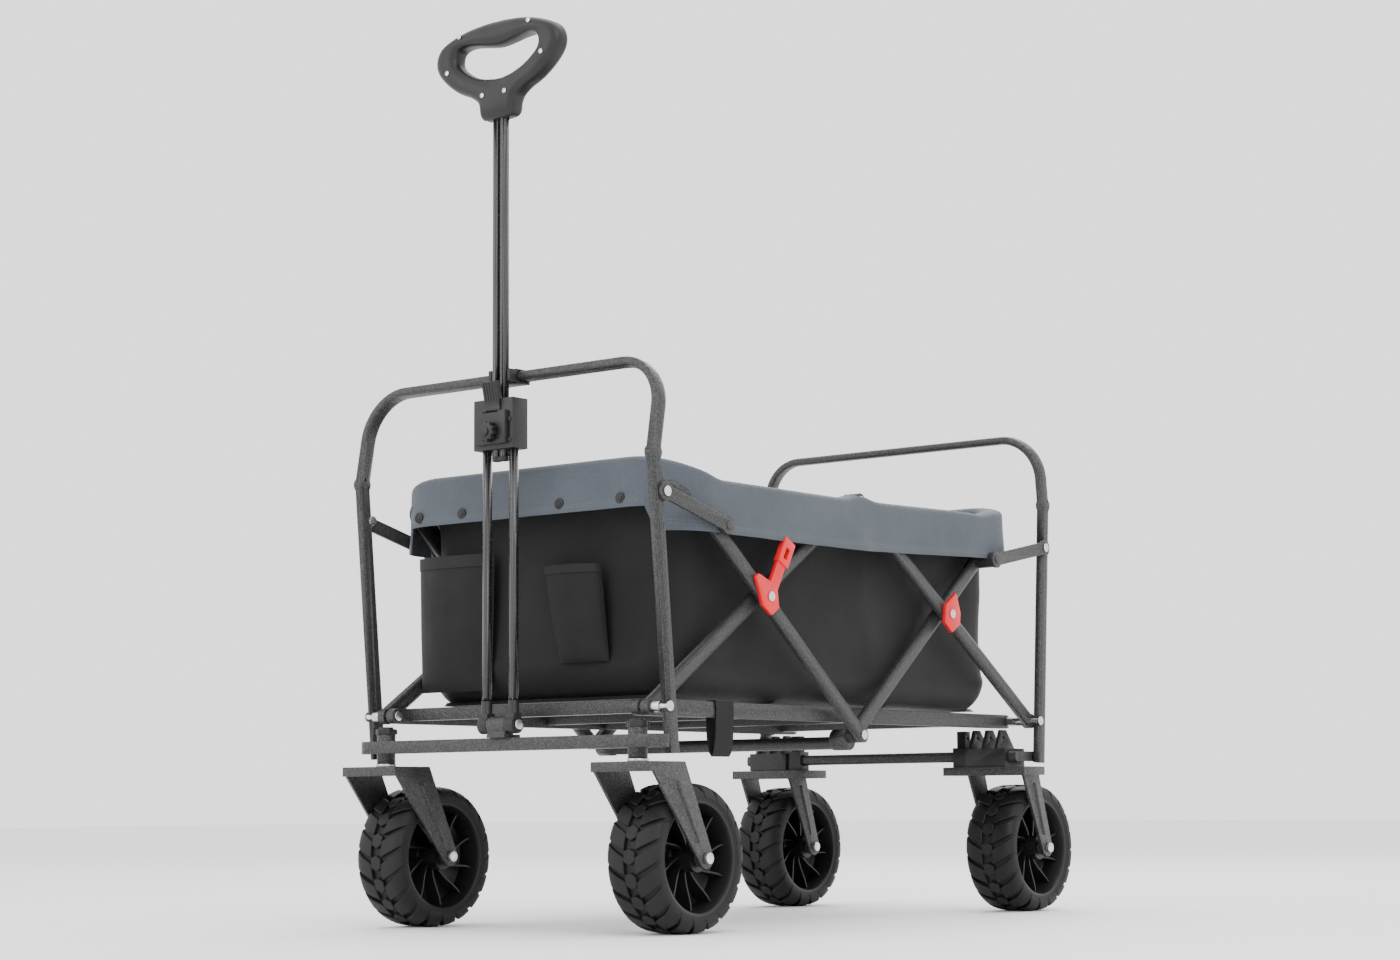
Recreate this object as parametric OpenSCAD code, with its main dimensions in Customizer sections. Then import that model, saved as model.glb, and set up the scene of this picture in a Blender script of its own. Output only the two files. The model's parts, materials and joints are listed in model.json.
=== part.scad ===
// Folding beach cart with a telescopic pull handle, two front castors and wide off-road wheels.
// Origin on the floor under the middle of the frame, +X towards the handle, +Z up, millimetres.

/* [Wheels] */
// Outside diameter of a wheel
wheel_d = 182; // [150:1:220]
// Width of a tyre
tyre_w = 80; // [56:1:90]
// Diameter of the rim's outer flange
rim_d = 142; // [100:1:150]
// Diameter of the wheel hub
hub_d = 34; // [26:1:44]
// Diameter of the axle bolts
axle_d = 8; // [6:0.5:12]

/* [Castors] */
// Distance that a front wheel trails behind its swivel
trail = 72; // [55:1:90]
// Thickness of the fork's steel plate
fork_t = 4; // [3:0.5:6]
// Gap between a tyre and each fork arm
fork_gap = 3.5; // [2.5:0.5:12]
// Length of a fork's top plate
fork_l = 64; // [50:1:80]
// Outside diameter of a castor socket
socket_d = 24; // [20:1:32]
// Diameter of a castor's kingpin
kingpin_d = 12; // [9:0.5:16]
// Distance from the middle of the cart to each castor
castor_y = 212; // [180:1:240]

/* [Frame] */
// Width over the two uprights of a hoop
frame_w = 508; // [430:1:610]
// Distance between the front and rear fold pivots
pivot_span = 856; // [720:1:1030]
// Height of the fold pivots above the floor
pivot_z = 273; // [250:1:320]
// Width of an upright's oval tube, along the cart
post_w = 20; // [16:1:26]
// Thickness of an upright's oval tube, across the cart
post_t = 12; // [10:1:16]
// Height of the front hoop
front_hoop_h = 703; // [600:1:850]
// Height of the rear hoop
rear_hoop_h = 697; // [600:1:850]
// Radius of a hoop's top corners
hoop_r = 62; // [40:1:90]

/* [Side arms] */
// Width of a side arm's oval tube
arm_w = 21; // [16:1:26]
// Thickness of a side arm's oval tube
arm_t = 11; // [8:0.5:12]
// Height that the lower arms climb to the middle of the cart
arm_rise = 285; // [240:1:340]
// Depth of the middle knuckle below the fold pivots
knuckle_drop = 27; // [15:1:30]
// Diameter of the rivets
rivet_d = 8; // [5:0.5:10]
// Radius of a long arm's corner, where it turns across the cart
corner_r = 50; // [35:1:70]
// Diameter of the tube between the two middle knuckles
cross_d = 17; // [12:1:20]

/* [Base] */
// Width of a base rail, across the cart
rail_t = 12; // [8:1:12]
// Height of a base rail
rail_h = 20; // [16:1:26]
// Thickness of a floor board
board_t = 5; // [3:0.5:8]

/* [Tub] */
// Length of the fabric tub
tub_l = 752; // [640:1:800]
// Height of the tub's rim above the floor
tub_top = 556; // [480:1:600]
// Thickness of the tub's cloth
cloth_t = 3; // [2:0.5:4]

/* [Handle] */
// Diameter of a handle tube
handle_tube_d = 12; // [10:0.5:14]
// Distance between the two lower handle tubes
handle_gap = 45; // [40:1:56]
// Height of the handle's pivot above the floor
handle_z = 256; // [250:1:262]
// Length of the lower handle tubes
lower_tube_l = 392; // [330:1:440]
// Length of the sliding shaft
shaft_l = 456; // [400:1:560]
// Width of the hand grip
grip_w = 214; // [170:1:250]
// Height of the hand grip
grip_h = 130; // [110:1:150]
// Thickness of the hand grip
grip_t = 30; // [24:1:36]

/* [Hidden] */
$fn = 64;
slide_gap = 0.05;  // radial clearance of a turning fit
seat_gap = 0.3;    // gap between parts that only rest together
steel = [0.20, 0.20, 0.21];
black = [0.05, 0.05, 0.06];
zinc = [0.75, 0.76, 0.78];
red = [0.85, 0.10, 0.10];
grey_cloth = [0.33, 0.36, 0.40];

wheel_r = wheel_d / 2;
fork_in = tyre_w / 2 + fork_gap;            // inner face of a fork arm from the wheel's middle
fork_out = fork_in + fork_t;
fork_top = wheel_d + 25;                    // top face of the fork's plate
eye_r = 13;                                 // rounded end of a fork arm
washer_t = 4;
shoulder_r = 12;
castor_x = pivot_span / 2 + 9;              // swivel axis of the front castors
front_wheel_x = castor_x - trail;
rear_wheel_x = -pivot_span / 2 - 12;
rear_wheel_y = castor_y - 4.5;
bumper_z = fork_top + washer_t + 21;        // middle height of the front bumper bar
bumper_h = 16;
socket_h = 38;
bumper_w = 24;
bumper_r = 20;
bumper_x = castor_x + 3;

post_y = frame_w / 2 - post_t / 2;          // middle of an upright
layer_gap = 1.5;
layer_b = frame_w / 2 - post_t - 2 - arm_t / 2;   // outer layer of arms
layer_a = layer_b - arm_t - layer_gap;            // inner layer of arms
front_rail_y = layer_a - arm_t / 2 - 4.5 - rail_t / 2;
rear_rail_y = front_rail_y - rail_t - 1.5;
board_y = rear_rail_y - rail_t / 2 - 3.5;

// Fold points in the side plane, as [x, z]. The front half is written; the rear half mirrors it.
pivot = [pivot_span / 2, pivot_z];
top_centre = [0, pivot_z + arm_rise];
knuckle = [0, pivot_z - knuckle_drop];
u_slope = 0.81;                             // rise of the long arm for each millimetre along the cart
lower_slope = arm_rise / pivot[0];
cross_x = (top_centre[1] - knuckle[1]) / (u_slope + lower_slope);
crossing = [cross_x, knuckle[1] + u_slope * cross_x];
u_dir = [1, u_slope] / norm([1, u_slope]);
u_len = 500;                                // knuckle to the top tube's middle line
u_top = knuckle + u_len * u_dir;
// Half of the top tube's extent along the cart
top_half_x = pow(pow(arm_w / 2 * u_dir[1], 1.43) + pow(arm_t / 2 * u_dir[0], 1.43), 0.7);
link_reach = 131;                           // from the crossing to the link's pin, along the long arm
link_pin = crossing + link_reach * u_dir;
front_link_post = pivot + [8, 258];
rear_link_post = pivot + [19, 253];
link_w = 22;
link_t = 4;

// Hoops, as [x, z]: foot, bend and top of the tube's middle line
front_foot = [pivot[0] - 12, bumper_z - bumper_h / 2 - 6];
front_bend = [pivot[0] + 21, front_hoop_h - 125];
front_top = [pivot[0], front_hoop_h - post_t / 2];
rear_foot = [pivot[0] + 4, bumper_z - 19];
rear_bend = [pivot[0] + 32, rear_hoop_h - 107];
rear_top = [pivot[0] + 21, rear_hoop_h - post_t / 2];

handle_x = pivot[0] + 22;
tube_y = handle_gap / 2;
knuckle_d = 22;
clamp_top = handle_z + lower_tube_l + 18;
clamp_h = 64;
clamp_t = 28;
shaft_tube_y = handle_tube_d / 2 + 0.3;
shaft_bottom = clamp_top - clamp_h - 8;
grip_z = shaft_bottom + shaft_l - 20;       // lowest point of the grip's neck
grip_clear = 0.4;

// The middle of the whole cart, wheels and knob included, stands over the origin
place_x = -(handle_x + clamp_t / 2 + 18 + rear_wheel_x - wheel_r) / 2;

// ---- helpers ----

module both_sides() {
  children();
  mirror([0, 1, 0]) children();
}

// The front half's children, turned round to the rear
module at_rear() mirror([1, 0, 0]) children();

// Section of an oval tube: a soft-cornered outline that is exactly w by t
oval_step = 18;
function bulge(v) = sign(v) * pow(abs(v) / cos(oval_step / 2), 0.6);
module oval(w, t)
  polygon([for (a = [oval_step / 2 : oval_step : 360]) [w / 2 * bulge(cos(a)), t / 2 * bulge(sin(a))]]);

// Cylinder across the cart, from y0 to y1, at a point [x, z]
module across(p, y0, y1, d) translate([p[0], y0, p[1]]) rotate([-90, 0, 0]) cylinder(d = d, h = y1 - y0);

// Oval tube in the side plane from a to b, with its middle at y
module side_tube(a, b, y, w, t) {
  d = b - a;
  translate([a[0], y, a[1]]) rotate([0, 90 - atan2(d[1], d[0]), 0])
    linear_extrude(norm(d)) oval(w, t);
}

// Side arm with round ends
module arm(a, b, y) {
  side_tube(a, b, y, arm_w, arm_t);
  for (p = [a, b]) across(p, y - arm_t / 2, y + arm_t / 2, arm_w - 0.2);
}

// Rivet with a domed head at each end
module rivet(p, y0, y1, d = rivet_d) {
  head_t = 2;
  head_d = d * 1.6;
  across(p, y0, y1, d);
  across(p, y0 - head_t, y0, head_d);
  across(p, y1, y1 + head_t, head_d);
}

module bore(p, y0, y1, d) across(p, y0 - 1, y1 + 1, d + 2 * slide_gap);

// ---- hoops and front frame ----

// Arch of oval tube in its own upright plane: two legs, round corners and a top
module arch(y, w, t, rise, r) {
  both_sides() {
    translate([0, y, 0]) linear_extrude(rise - r) oval(w, t);
    translate([0, y - r, rise - r]) rotate([90, 0, 90])
      rotate_extrude(angle = 90) translate([r, 0]) oval(t, w);
  }
  translate([0, y - r, rise]) rotate([90, 0, 0]) linear_extrude(2 * (y - r)) oval(w, t);
}

// Hoop: two legs up to a slight bend, then a leaning arch
module hoop(foot, bend, top) {
  lean = atan2(top[0] - bend[0], top[1] - bend[1]);
  both_sides() {
    side_tube(foot, bend, post_y, post_w, post_t);
    across(bend, post_y - post_t / 2, post_y + post_t / 2, post_w - 0.4);
  }
  translate([bend[0], 0, bend[1]]) rotate([0, lean, 0]) arch(post_y, post_w, post_t, norm(top - bend), hoop_r);
}

module front_hoop() color(steel) difference() {
  hoop(front_foot, front_bend, front_top);
  both_sides() for (p = [pivot, front_link_post]) bore(p, layer_b, frame_w / 2, rivet_d);
}

// Flat bar across the front whose ends turn back to the hoop, with the two castor sockets welded in
module front_bumper() color(steel) difference() {
  post_lean = (front_bend[0] - front_foot[0]) / (front_bend[1] - front_foot[1]);
  back_x = front_foot[0] + post_w / 2 + post_lean * (bumper_h + 6) + seat_gap;
  front_x = bumper_x + bumper_w / 2;
  half_y = frame_w / 2;
  union() {
    translate([0, 0, bumper_z - bumper_h / 2]) linear_extrude(bumper_h) difference() {
      union() {
        translate([back_x, -half_y]) square([front_x - bumper_r - back_x, 2 * half_y]);
        translate([back_x, bumper_r - half_y]) square([front_x - back_x, 2 * (half_y - bumper_r)]);
        for (s = [-1, 1]) translate([front_x - bumper_r, s * (half_y - bumper_r)]) circle(r = bumper_r);
      }
      translate([back_x - 1, post_t - half_y]) square([front_x - bumper_w - back_x + 1, 2 * (half_y - post_t)]);
      translate([back_x - bumper_r, -frame_w]) square([bumper_r, 2 * frame_w]);
    }
    both_sides() translate([castor_x, castor_y, fork_top + washer_t]) cylinder(d = socket_d, h = socket_h);
  }
  both_sides() translate([castor_x, castor_y, 0]) cylinder(d = kingpin_d + 2 * slide_gap, h = 2 * bumper_z);
}

module socket_caps() color(black) both_sides()
  translate([castor_x, castor_y, fork_top + washer_t + socket_h]) difference() {
    union() {
      cylinder(d = socket_d + 2, h = 7);
      translate([0, 0, 7]) cylinder(d = socket_d - 6, h = 2.5);
      for (k = [0 : 5]) rotate(k * 60) translate([socket_d / 2, 0, 0]) cylinder(d = 5, h = 6);
    }
    translate([0, 0, -1]) cylinder(d = kingpin_d + 4, h = 5.5);
  }

// Upright of the handle's hinge, standing on the bumper bar
module handle_bracket() color(steel) difference() {
  lug_y = tube_y - 7.5;
  base_z = bumper_z + bumper_h / 2;
  union() {
    across([handle_x, handle_z], -lug_y, lug_y, knuckle_d);
    translate([handle_x - 8, -lug_y, base_z]) cube([16, 2 * lug_y, handle_z - base_z]);
    translate([handle_x - 21, -lug_y, base_z]) cube([30, 2 * lug_y, 4]);
  }
  bore([handle_x, handle_z], -lug_y, lug_y, axle_d);
}

module handle_pivot_bolt() color(zinc) {
  reach = tube_y + 7.5 + 0.5;
  across([handle_x, handle_z], -reach, reach, axle_d);
  for (s = [-1, 1]) across([handle_x, handle_z], s * (reach + 1) - 1.5, s * (reach + 1) + 1.5, axle_d + 5);
}

module front_pivot_bolts() color(zinc) both_sides() {
  rivet(pivot, front_rail_y - rail_t / 2, frame_w / 2);
  rivet(front_link_post, post_y - post_t / 2, frame_w / 2 + link_t + 0.8);
  difference() {
    across(pivot, layer_a + arm_t / 2 + 0.2, frame_w / 2 - post_t - 0.2, rivet_d + 6);
    bore(pivot, layer_a, frame_w / 2, rivet_d - 0.3);
  }
}

// Snap clip on the hoop's top bar that holds the handle upright
module handle_clip() color(black) {
  half = shaft_tube_y + handle_tube_d / 2 + 1;
  tip_x = handle_x + 3;
  top_z = front_hoop_h - post_t / 2;
  difference() {
    union() {
      translate([front_top[0] - post_w / 2 - 3, -half - 5, top_z - post_t / 2 - 3])
        cube([post_w + 6, 2 * half + 10, post_t + 6]);
      for (s = [0, 1]) mirror([0, s, 0]) translate([front_top[0], half, top_z - 8])
        cube([tip_x - front_top[0], 5, 16]);
    }
    lean = atan2(front_top[0] - front_bend[0], front_top[1] - front_bend[1]);
    translate([front_top[0], half + 10, front_top[1]]) rotate([0, lean, 0]) rotate([90, 0, 0])
      linear_extrude(2 * half + 20) square([post_w + 0.6, post_t + 0.6], center = true);
    translate([handle_x - handle_tube_d / 2 - 0.6, -half, top_z - 20]) cube([40, 2 * half, 40]);
  }
}

// ---- handle ----

module handle_tubes() color(steel) for (s = [-1, 1])
  translate([handle_x, s * tube_y, handle_z + 8]) difference() {
    cylinder(d = handle_tube_d, h = lower_tube_l);
    translate([0, 0, 4]) cylinder(d = handle_tube_d - 2.4, h = lower_tube_l - 8);
  }

module handle_knuckles() color(black) for (s = [-1, 1]) translate([handle_x, s * tube_y, handle_z]) difference() {
  union() {
    translate([0, -7, 0]) rotate([-90, 0, 0]) cylinder(d = knuckle_d, h = 14);
    translate([0, 0, 4]) cylinder(d = handle_tube_d + 2, h = 26);
    translate([-7, -7, 0]) cube([14, 14, 14]);
  }
  translate([0, 0, 8]) cylinder(d = handle_tube_d + 0.2, h = 30);
  translate([0, -10, 0]) rotate([-90, 0, 0]) cylinder(d = axle_d + 2 * slide_gap, h = 20);
}

module clamp_block() color(black) {
  half_y = tube_y + handle_tube_d / 2 + 4.5;
  low = clamp_top - clamp_h;
  difference() {
    union() {
      translate([handle_x - clamp_t / 2, -half_y, low]) cube([clamp_t, 2 * half_y, clamp_h]);
      translate([handle_x + clamp_t / 2, -half_y + 8, low + 6]) cube([6, 2 * half_y - 16, clamp_h - 22]);
    }
    for (s = [-1, 1]) translate([handle_x, s * tube_y, low - 1])
      cylinder(d = handle_tube_d + 0.2, h = handle_z + 8 + lower_tube_l - low + 1.2);
    for (s = [-1, 1]) translate([handle_x, s * shaft_tube_y, low - 1])
      cylinder(d = handle_tube_d + 2 * grip_clear, h = clamp_h + 2);
    translate([handle_x - 3, -shaft_tube_y, low - 1]) cube([6, 2 * shaft_tube_y, clamp_h + 2]);
    translate([handle_x + 8, 0, low + 21]) rotate([0, 90, 0]) cylinder(d = 6.2, h = 30);
    translate([handle_x + clamp_t / 2 - 8, -13, clamp_top - 18]) cube([20, 26, 30]);
    translate([handle_x + clamp_t / 2 - 3, -20, clamp_top - 13]) rotate([-90, 0, 0]) cylinder(d = 4.1, h = 40);
  }
  for (s = [-1, 1], z = [low + 10, clamp_top - 28]) translate([handle_x + clamp_t / 2, s * (half_y - 5), z])
    rotate([0, 90, 0]) cylinder(d = 6, h = 1.8);
}

module clamp_knob() color(black) translate([handle_x + clamp_t / 2 + 6.5, 0, clamp_top - clamp_h + 21]) rotate([0, 90, 0]) {
  cylinder(d = 22, h = 9);
  for (k = [0 : 9]) rotate(k * 36 + 7) translate([10.6, 0, 0.4]) cylinder(d = 5, h = 8.2);
  translate([0, 0, 9]) cylinder(d = 12, h = 2.5);
  translate([0, 0, -12]) cylinder(d = 6, h = 12.5);
}

module clamp_tab() color(black) translate([handle_x + clamp_t / 2 - 3, 0, clamp_top - 13]) {
  rotate([90, 0, 0]) translate([0, 0, -12.5]) cylinder(d = 9, h = 25);
  rotate([90, 0, 0]) translate([0, 0, -18]) cylinder(d = 4, h = 36);
  rotate([0, 14, 0]) {
    translate([-4, -12, 0]) cube([8, 24, 36]);
    for (k = [0 : 4]) translate([4, -9 + k * 4.5, 10]) cylinder(d = 2, h = 25);
  }
}

module shaft_tubes() color(steel) difference() {
  union() {
    for (s = [-1, 1]) translate([handle_x, s * shaft_tube_y, shaft_bottom]) cylinder(d = handle_tube_d, h = shaft_l);
    translate([handle_x - 1.5, -shaft_tube_y, shaft_bottom]) cube([3, 2 * shaft_tube_y, shaft_l]);
  }
  for (s = [-1, 1]) translate([handle_x, s * shaft_tube_y, shaft_bottom + 6]) cylinder(d = handle_tube_d - 3, h = shaft_l - 12);
}

module shaft_end_plug() color(black) translate([handle_x, 0, shaft_bottom - 6]) {
  for (s = [-1, 1]) translate([0, s * shaft_tube_y, 0]) cylinder(d = handle_tube_d, h = 6);
  translate([-4, -shaft_tube_y, 0]) cube([8, 2 * shaft_tube_y, 6]);
}

// Outline of the grip: a wide rounded loop on a short neck
module grip_outline() {
  end_r = 19;
  hull() {
    for (s = [-1, 1]) {
      translate([s * (grip_w / 2 - end_r), grip_h - 37]) circle(r = end_r, $fn = 40);
      translate([s * grip_w * 0.19, grip_h - 16]) circle(r = 14, $fn = 32);
      translate([s * grip_w * 0.23, grip_h * 0.4]) circle(r = 16, $fn = 32);
    }
    translate([0, grip_h - 14]) circle(r = 14, $fn = 32);
  }
  translate([-28, 0]) square([56, grip_h * 0.4]);
}

module grip_hole() hull() for (s = [-1, 1]) {
  translate([s * (grip_w / 2 - 51), grip_h - 41]) circle(r = 14, $fn = 32);
  translate([s * grip_w * 0.13, grip_h * 0.52]) circle(r = 12, $fn = 32);
}

module grip_shell(side) color(black) difference() {
  translate([handle_x, 0, grip_z]) mirror([side, 0, 0]) rotate([90, 0, 90]) linear_extrude(grip_t / 2)
    difference() {
      grip_outline();
      grip_hole();
    }
  shaft_top = shaft_bottom + shaft_l;
  for (s = [-1, 1]) translate([handle_x, s * shaft_tube_y, grip_z - 1])
    cylinder(d = handle_tube_d + 0.2, h = shaft_top - grip_z + 1.2);
  translate([handle_x - 1.7, -shaft_tube_y, grip_z - 1]) cube([3.4, 2 * shaft_tube_y, shaft_top - grip_z + 1.2]);
}

module grip_front_shell() grip_shell(0);
module grip_rear_shell() grip_shell(1);

module grip_screws() color(zinc) {
  spots = [[-0.28, 0.905], [0.28, 0.905], [-0.38, 0.56], [0.38, 0.56], [-0.09, 0.25], [0.09, 0.25]];
  for (s = spots) translate([handle_x + grip_t / 2, s[0] * grip_w, grip_z + s[1] * grip_h])
    rotate([0, 90, 0]) cylinder(d = 6.5, h = 1.4);
}

// ---- castors and wheels ----

// A fork arm's outline in the side plane: from the plate down to the axle, which lies back from the plate's middle
module fork_arm(x_top, x_axle, length) {
  plate_z = fork_top - 6;
  hull() {
    translate([x_top - length / 2, plate_z]) square([length, 6]);
    translate([x_axle, wheel_r]) circle(r = eye_r, $fn = 48);
  }
}

module fork_pair(x_top, x_axle, length) difference() {
  for (s = [0, 1]) mirror([0, s, 0]) {
    translate([0, fork_out, 0]) rotate([90, 0, 0]) linear_extrude(fork_t) fork_arm(x_top, x_axle, length);
    hull() {
      translate([x_axle + (x_top - x_axle) * 0.2, fork_out, wheel_r + 20]) sphere(d = 4, $fn = 16);
      translate([x_axle + (x_top - x_axle) * 0.75, fork_out, fork_top - 26]) sphere(d = 7, $fn = 16);
    }
  }
  across([x_axle, wheel_r], -fork_out - 1, fork_out + 1, axle_d + 2 * slide_gap);
}

module castor_fork() color(steel) {
  fork_pair(castor_x, front_wheel_x, fork_l);
  difference() {
    translate([castor_x - fork_l / 2, -fork_out, fork_top - fork_t]) cube([fork_l, 2 * fork_out, fork_t]);
    translate([castor_x, 0, 0]) cylinder(d = kingpin_d + 0.2, h = 2 * fork_top);
  }
  translate([castor_x + fork_l / 2 - fork_t, -fork_out, fork_top - 12]) cube([fork_t, 2 * fork_out, 12]);
}

// Pin that the castor turns on: a head under the plate, a race washer above it
module kingpin() color(zinc) translate([castor_x, 0, 0]) {
  translate([0, 0, fork_top - fork_t - 6]) cylinder(d = kingpin_d + 8, h = 6);
  translate([0, 0, fork_top - fork_t]) cylinder(d = kingpin_d, h = fork_t + washer_t + socket_h + 3.5);
  translate([0, 0, fork_top + 0.1]) cylinder(d = socket_d + 2, h = washer_t - 0.3);
  translate([0, 0, fork_top + washer_t + socket_h + 0.2]) cylinder(d = kingpin_d + 3, h = 3.5);
}

module axle(x) color(zinc) {
  across([x, wheel_r], -fork_out, fork_out, axle_d);
  for (s = [-1, 1]) across([x, wheel_r], s * (fork_out + 3) - 3, s * (fork_out + 3) + 3, axle_d + 6);
}

// Wide tyre with rounded shoulders
module tyre(x) color(black) translate([x, 0, wheel_r]) rotate([90, 0, 0]) rotate_extrude($fn = 96) difference() {
  union() {
    translate([rim_d / 2 - 8, -tyre_w / 2 + 4]) square([wheel_r - rim_d / 2 - shoulder_r + 8, tyre_w - 8]);
    translate([rim_d / 2 - 2, -tyre_w / 2]) square([wheel_r - rim_d / 2 - shoulder_r + 2, tyre_w]);
    for (y = [-1, 1]) translate([wheel_r - shoulder_r, y * (tyre_w / 2 - shoulder_r)]) circle(r = shoulder_r);
    translate([wheel_r - shoulder_r, shoulder_r - tyre_w / 2]) square([shoulder_r, tyre_w - 2 * shoulder_r]);
  }
  translate([rim_d / 2 - 9, -tyre_w / 2 + 7]) square([9, tyre_w - 14]);
}

// Dished plastic rim with a web, a hub and ribs
module rim(x) color(black) translate([x, 0, wheel_r]) rotate([90, 0, 0]) difference() {
  union() {
    rotate_extrude($fn = 96) {
      translate([rim_d / 2 - 10, -tyre_w / 2 + 7.2]) square([9.9, tyre_w - 14.4]);
      translate([hub_d / 2 - 2, -3]) square([rim_d / 2 - hub_d / 2 - 4, 6]);
    }
    cylinder(d = hub_d, h = tyre_w - 6, center = true);
    for (k = [0 : 8]) rotate(k * 40) translate([hub_d / 2 - 1, -1.5, -tyre_w / 2 + 14])
      cube([rim_d / 2 - hub_d / 2 - 6, 3, tyre_w - 28]);
  }
  cylinder(d = axle_d + 8, h = tyre_w, center = true);
}

// Two flanged bushes that carry the wheel on its axle
module bush(x) color(grey_cloth) translate([x, 0, wheel_r]) rotate([90, 0, 0]) for (s = [0, 1]) mirror([0, 0, s]) difference() {
  union() {
    translate([0, 0, 8]) cylinder(d = axle_d + 7.9, h = tyre_w / 2 - 11);
    translate([0, 0, tyre_w / 2 - 2.9]) cylinder(d = axle_d + 14, h = 2.4);
  }
  cylinder(d = axle_d + 2 * slide_gap, h = tyre_w);
}

module at_front(s) translate([0, s * castor_y, 0]) children();
module at_back(s) translate([0, s * rear_wheel_y, 0]) children();

// ---- rear frame ----

rear_plate_w = 137;
rear_plate_l = 57;
rear_plate_t = 12;
rear_plate_x = -pivot_span / 2 + 32;
rear_bar_z = fork_top + 15;
rear_bar_x = rear_plate_x + 10;

module rear_hoop() color(steel) difference() {
  at_rear() hoop(rear_foot, rear_bend, rear_top);
  at_rear() both_sides() for (p = [pivot, rear_link_post])
    bore(p, layer_b, frame_w / 2, rivet_d);
}

// Square tube between the uprights, joined to their feet by two short returns
module rear_crossbar() color(steel) {
  half = post_y - post_t / 2 - 0.2;
  translate([rear_bar_x, half, rear_bar_z]) rotate([90, 0, 0]) linear_extrude(2 * half) oval(15, 15);
  both_sides() translate([-rear_foot[0] - 9, half - 9, rear_bar_z - 7]) cube([rear_bar_x + rear_foot[0] + 9, 9, 14]);
}

// Plastic seat between the crossbar and each rear fork, with three ribs and a post
module rear_brackets() color(black) both_sides() difference() {
  seat_x = rear_plate_x - rear_plate_l / 2 + 2;
  seat_y = rear_wheel_y - 46;
  union() {
    translate([seat_x, seat_y, fork_top + 0.2]) cube([rear_plate_l - 4, 68, 26]);
    for (k = [0 : 2]) translate([rear_bar_x - 16, seat_y + 12 + k * 22, fork_top + 26])
      rotate([90, 0, 0]) linear_extrude(5) polygon([[-14, 0], [34, 0], [22, 27], [8, 27]]);
    translate([rear_bar_x - 11, seat_y - 24, fork_top + 0.2]) cube([22, 24, 28]);
    translate([rear_bar_x - 7, seat_y - 19, fork_top + 28]) cube([14, 14, 24]);
  }
  translate([rear_bar_x, frame_w / 2, rear_bar_z]) rotate([90, 0, 0]) linear_extrude(frame_w) oval(15.4, 15.4);
  across([rear_bar_x, fork_top + 42], 0, frame_w, 5);
}

module rear_forks() color(steel) both_sides() translate([0, rear_wheel_y, 0]) {
  translate([rear_plate_x - rear_plate_l / 2, fork_out + 7 - rear_plate_w, fork_top - rear_plate_t])
    cube([rear_plate_l, rear_plate_w, rear_plate_t]);
  fork_pair(rear_plate_x, rear_wheel_x, rear_plate_l - 16);
}

module rear_axles() both_sides() translate([0, rear_wheel_y, 0]) axle(rear_wheel_x);

module rear_pivot_bolts() color(zinc) at_rear() both_sides() {
  rivet(pivot, rear_rail_y - rail_t / 2, frame_w / 2);
  rivet(rear_link_post, post_y - post_t / 2, frame_w / 2 + link_t + 0.8);
  difference() {
    across(pivot, rear_rail_y + rail_t / 2 + 0.2, layer_b - arm_t / 2 - 0.2, rivet_d + 6);
    bore(pivot, 0, frame_w / 2, rivet_d - 0.3);
  }
}

// ---- side arms ----

module lower_arms(y) color(steel) both_sides() difference() {
  arm(pivot, top_centre, y);
  for (p = [pivot, crossing, top_centre]) bore(p, y - arm_t, y + arm_t, rivet_d);
}

// Two long arms joined across the cart by their own round corners and top tube
module u_frame(y) color(steel) difference() {
  union() {
    translate([knuckle[0], 0, knuckle[1]]) rotate([0, 90 - atan(u_slope), 0]) arch(y, arm_w, arm_t, u_len, corner_r);
    both_sides() across(knuckle, y - arm_t / 2, y + arm_t / 2, arm_w - 0.2);
  }
  both_sides() for (p = [crossing, knuckle]) bore(p, y - arm_t, y + arm_t, rivet_d);
}

module front_arms() lower_arms(layer_a);
module rear_arms() at_rear() lower_arms(layer_b);
module front_u_frame() u_frame(layer_b);
module rear_u_frame() at_rear() u_frame(layer_a);

module crossing_rivets() color(zinc) both_sides()
  rivet(crossing, layer_a - arm_t / 2, layer_b + arm_t / 2 + 6.3);

// Pin through one arm only, with a head on its outer face
module stud(p) color(zinc) both_sides() {
  across(p, layer_b - arm_t / 2, layer_b + arm_t / 2, rivet_d);
  across(p, layer_b + arm_t / 2, layer_b + arm_t / 2 + 2, rivet_d * 1.6);
}

module front_arm_rivets() {
  crossing_rivets();
  stud(knuckle);
}

module rear_arm_rivets() {
  at_rear() crossing_rivets();
  stud(top_centre);
}

// Red latch on the crossing: a plate over the arm and a finger lever with a slot
module lock_lever() color(red) difference() {
  face = layer_b + arm_t / 2 + seat_gap;
  lever_a = 119;
  translate([crossing[0], face, crossing[1]]) {
    rotate([-90, 0, 0]) linear_extrude(6) mirror([0, 1]) union() {
      polygon([[-18, -14], [-2, -24], [16, -12], [30, 24], [24, 28], [-14, 14]]);
      rotate(lever_a) translate([8, -9]) square([42, 18]);
    }
    rotate([-90, 0, 0]) linear_extrude(9) mirror([0, 1]) rotate(lever_a) translate([48, -11]) square([36, 22]);
  }
  bore(crossing, face, face + 6, rivet_d);
  translate([crossing[0], face - 1, crossing[1]]) rotate([-90, 0, 0]) linear_extrude(12) mirror([0, 1])
    rotate(lever_a) translate([56, -4]) square([16, 8]);
}

module rear_arm_clips() color(red) at_rear() both_sides() difference() {
  face = layer_b + arm_t / 2 + seat_gap;
  translate([crossing[0], face, crossing[1]]) rotate([-90, 0, 0]) linear_extrude(6) mirror([0, 1])
    polygon([[-18, -12], [0, -26], [20, -14], [22, 2], [12, 30], [-14, 12]]);
  bore(crossing, face, face + 6, rivet_d);
}

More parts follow.
